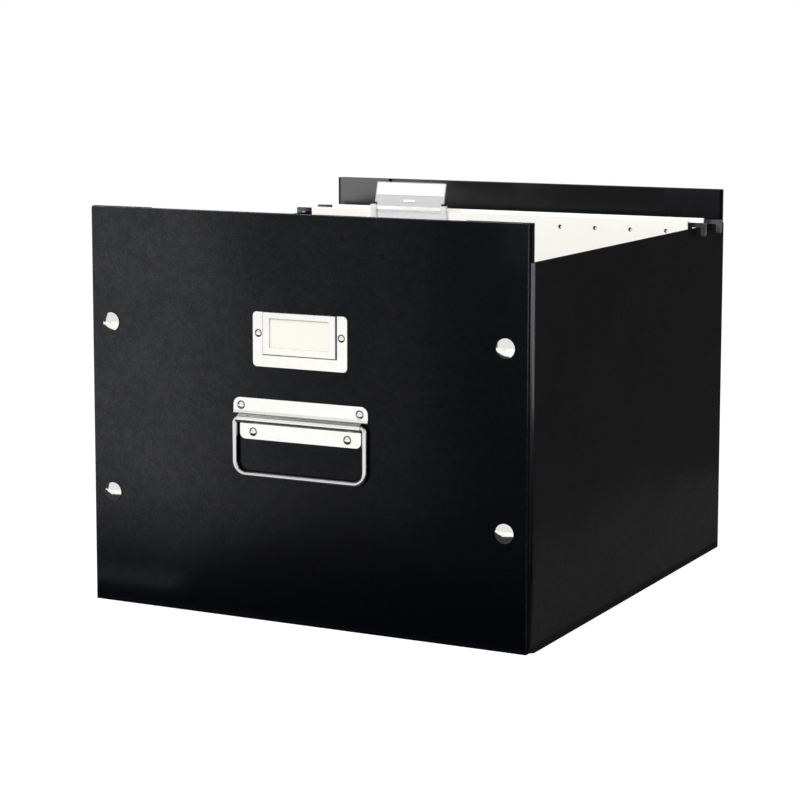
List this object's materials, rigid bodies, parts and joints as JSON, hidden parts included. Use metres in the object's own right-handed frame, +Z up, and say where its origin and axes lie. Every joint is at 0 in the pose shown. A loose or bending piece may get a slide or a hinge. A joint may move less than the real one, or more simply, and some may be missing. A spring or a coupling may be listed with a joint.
{
  "type": "archive box",
  "caption": "Open board box for hanging files, with snap-closed corners, a label holder, a drop handle and one hanging folder with an index tab.",
  "frame": {"origin": "centre of the underside, midway between the outer faces of the side walls and of the front and back boards", "axes": "+X to the right as seen from the front, +Y from the front towards the back, +Z up"},
  "size_m": [0.3462, 0.3718, 0.2774],
  "materials": {
    "black_board": "embossed black film on greyboard, semi-gloss",
    "bright_metal": "bright nickel plate",
    "stud_steel": "zinc-plated steel",
    "cream_card": "plain cream card",
    "folder_card": "smooth cream card",
    "rail_steel": "black lacquered steel strip",
    "clear_plastic": "clear moulded plastic",
    "white_paper": "white paper"
  },
  "bodies": {
    "box": {"base_cover_sheet": "black_board", "base_board": "black_board", "left_wall": "black_board", "right_wall": "black_board", "front_stud_posts": "stud_steel", "front_stud_washers": "stud_steel", "back_stud_posts": "stud_steel", "back_stud_washers": "stud_steel"},
    "front_panel": {"front_board": "black_board", "front_stud_caps": "bright_metal", "front_stud_sockets": "stud_steel", "label_holder": "bright_metal", "label_rivets": "bright_metal", "label_rivet_washers": "stud_steel", "handle_plate": "bright_metal", "handle_rivets": "bright_metal", "handle_rivet_washers": "stud_steel"},
    "back_panel": {"back_board": "black_board", "back_stud_caps": "bright_metal", "back_stud_sockets": "stud_steel"},
    "bail": {"handle_bail": "bright_metal"},
    "name_card": {"label_card": "cream_card"},
    "folder": {"folder_back_leaf": "folder_card", "folder_back_rail": "rail_steel"},
    "front_leaf": {"folder_front_leaf": "folder_card", "folder_front_rail": "rail_steel", "tab_clip": "clear_plastic"},
    "tab": {"tab_sleeve": "clear_plastic"},
    "insert": {"tab_insert": "white_paper"}
  },
  "joints": [
    {"name": "front_panel_fold", "type": "hinge", "parent": "box", "child": "front_panel", "pos_m": [0, -0.1825, 0.0005], "axis": [1, 0, 0], "range_deg": [0, 87]},
    {"name": "back_panel_fold", "type": "hinge", "parent": "box", "child": "back_panel", "pos_m": [0, 0.1825, 0.0005], "axis": [-1, 0, 0], "range_deg": [0, 87]},
    {"name": "bail_swing", "type": "hinge", "parent": "front_panel", "child": "bail", "pos_m": [0, -0.18445, 0.1374], "axis": [-1, 0, 0], "range_deg": [0, 155]},
    {"name": "card_slide", "type": "slide", "parent": "front_panel", "child": "name_card", "axis": [0, 0, 1], "range_m": [0, 0.03]},
    {"name": "folder_slide", "type": "slide", "parent": "box", "child": "folder", "axis": [0, 1, 0], "range_m": [-0.288, 0.018]},
    {"name": "leaf_close", "type": "hinge", "parent": "folder", "child": "front_leaf", "pos_m": [0, 0.137, 0.014], "axis": [-1, 0, 0], "range_deg": [0, 7.4]},
    {"name": "tab_tilt", "type": "hinge", "parent": "front_leaf", "child": "tab", "pos_m": [-0.071, 0.11686, 0.25683], "axis": [1, 0, 0], "range_deg": [-20, 80]},
    {"name": "insert_slide", "type": "slide", "parent": "tab", "child": "insert", "axis": [1, 0, 0], "range_m": [0, 0.058]}
  ]
}
